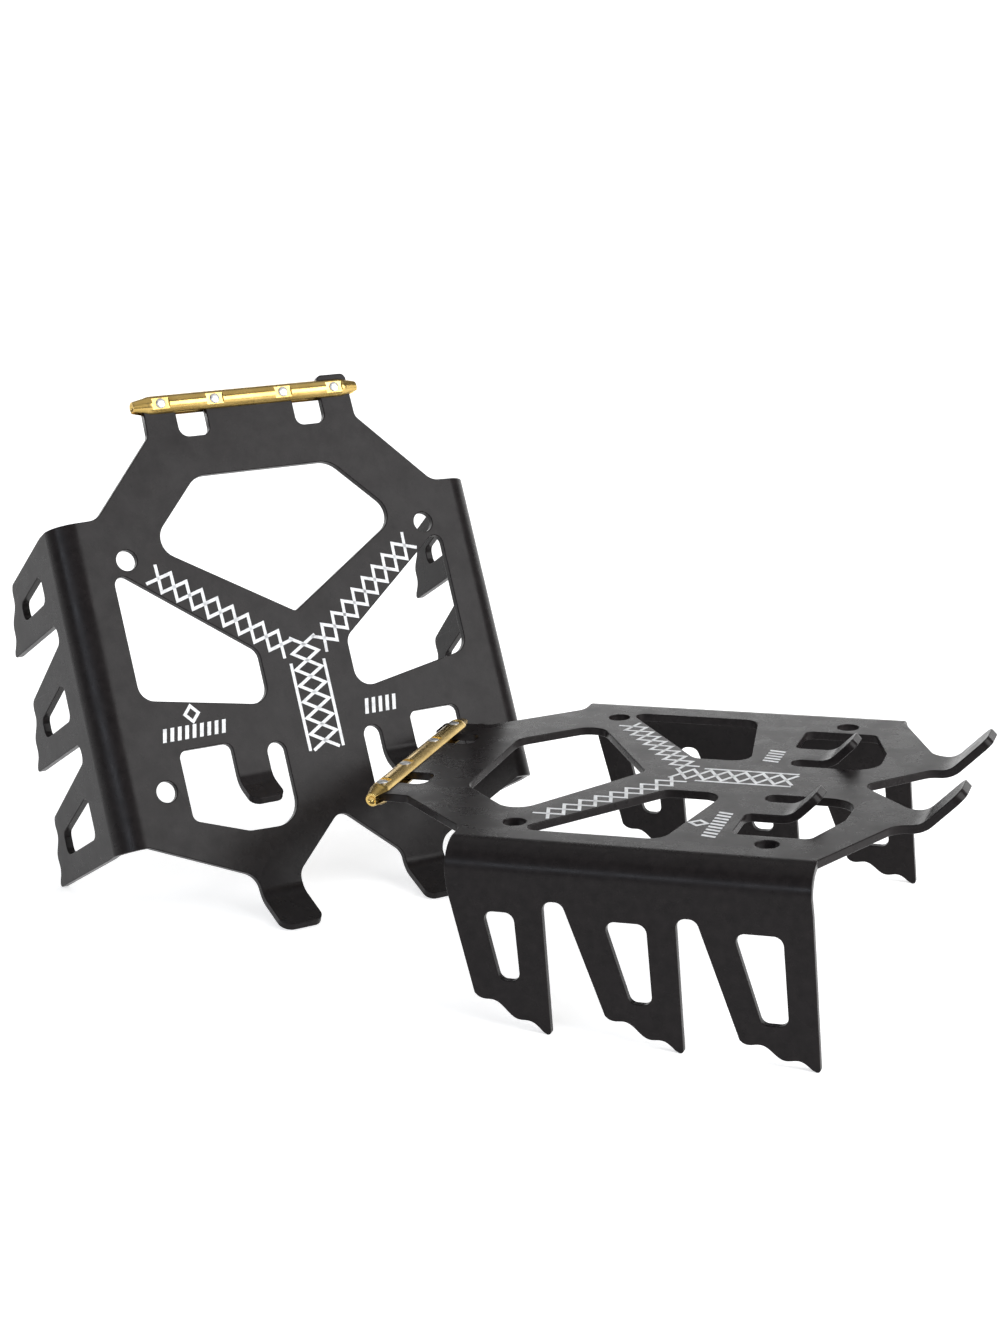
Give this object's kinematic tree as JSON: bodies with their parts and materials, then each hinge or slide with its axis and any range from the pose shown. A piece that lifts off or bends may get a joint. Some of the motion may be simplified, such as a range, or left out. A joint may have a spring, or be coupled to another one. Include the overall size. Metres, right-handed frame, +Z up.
{
  "type": "splitboard crampons",
  "caption": "Pair of splitboard crampons: folded toothed sheets with upturned fingers, each with a grooved hinge bar riveted to its front tabs; one stands, one leans back.",
  "frame": {"origin": "middle of the bottom of the box round the pair, on the floor", "axes": "+X along the standing crampon towards its rear fingers, +Y across it towards its right side seen from its rear looking forwards, +Z up"},
  "size_m": [0.2878, 0.1799, 0.1428],
  "materials": {
    "black_sheet": "satin, hard anodised dark grey",
    "bar": "polished, light gold",
    "rivet": "bright"
  },
  "bodies": {
    "standing_crampon": {"standing_plate": "black_sheet", "standing_pivot_bar": "bar", "standing_rivet_1": "rivet", "standing_rivet_2": "rivet", "standing_rivet_3": "rivet", "standing_rivet_4": "rivet"},
    "leaning_crampon": {"leaning_plate": "black_sheet", "leaning_pivot_bar": "bar", "leaning_rivet_1": "rivet", "leaning_rivet_2": "rivet", "leaning_rivet_3": "rivet", "leaning_rivet_4": "rivet"}
  },
  "joints": [
    {"name": "leaning_pick_up", "type": "slide", "parent": "standing_crampon", "child": "leaning_crampon", "axis": [-0.6, 0, 0.8], "range_m": [0, 0.15]}
  ]
}
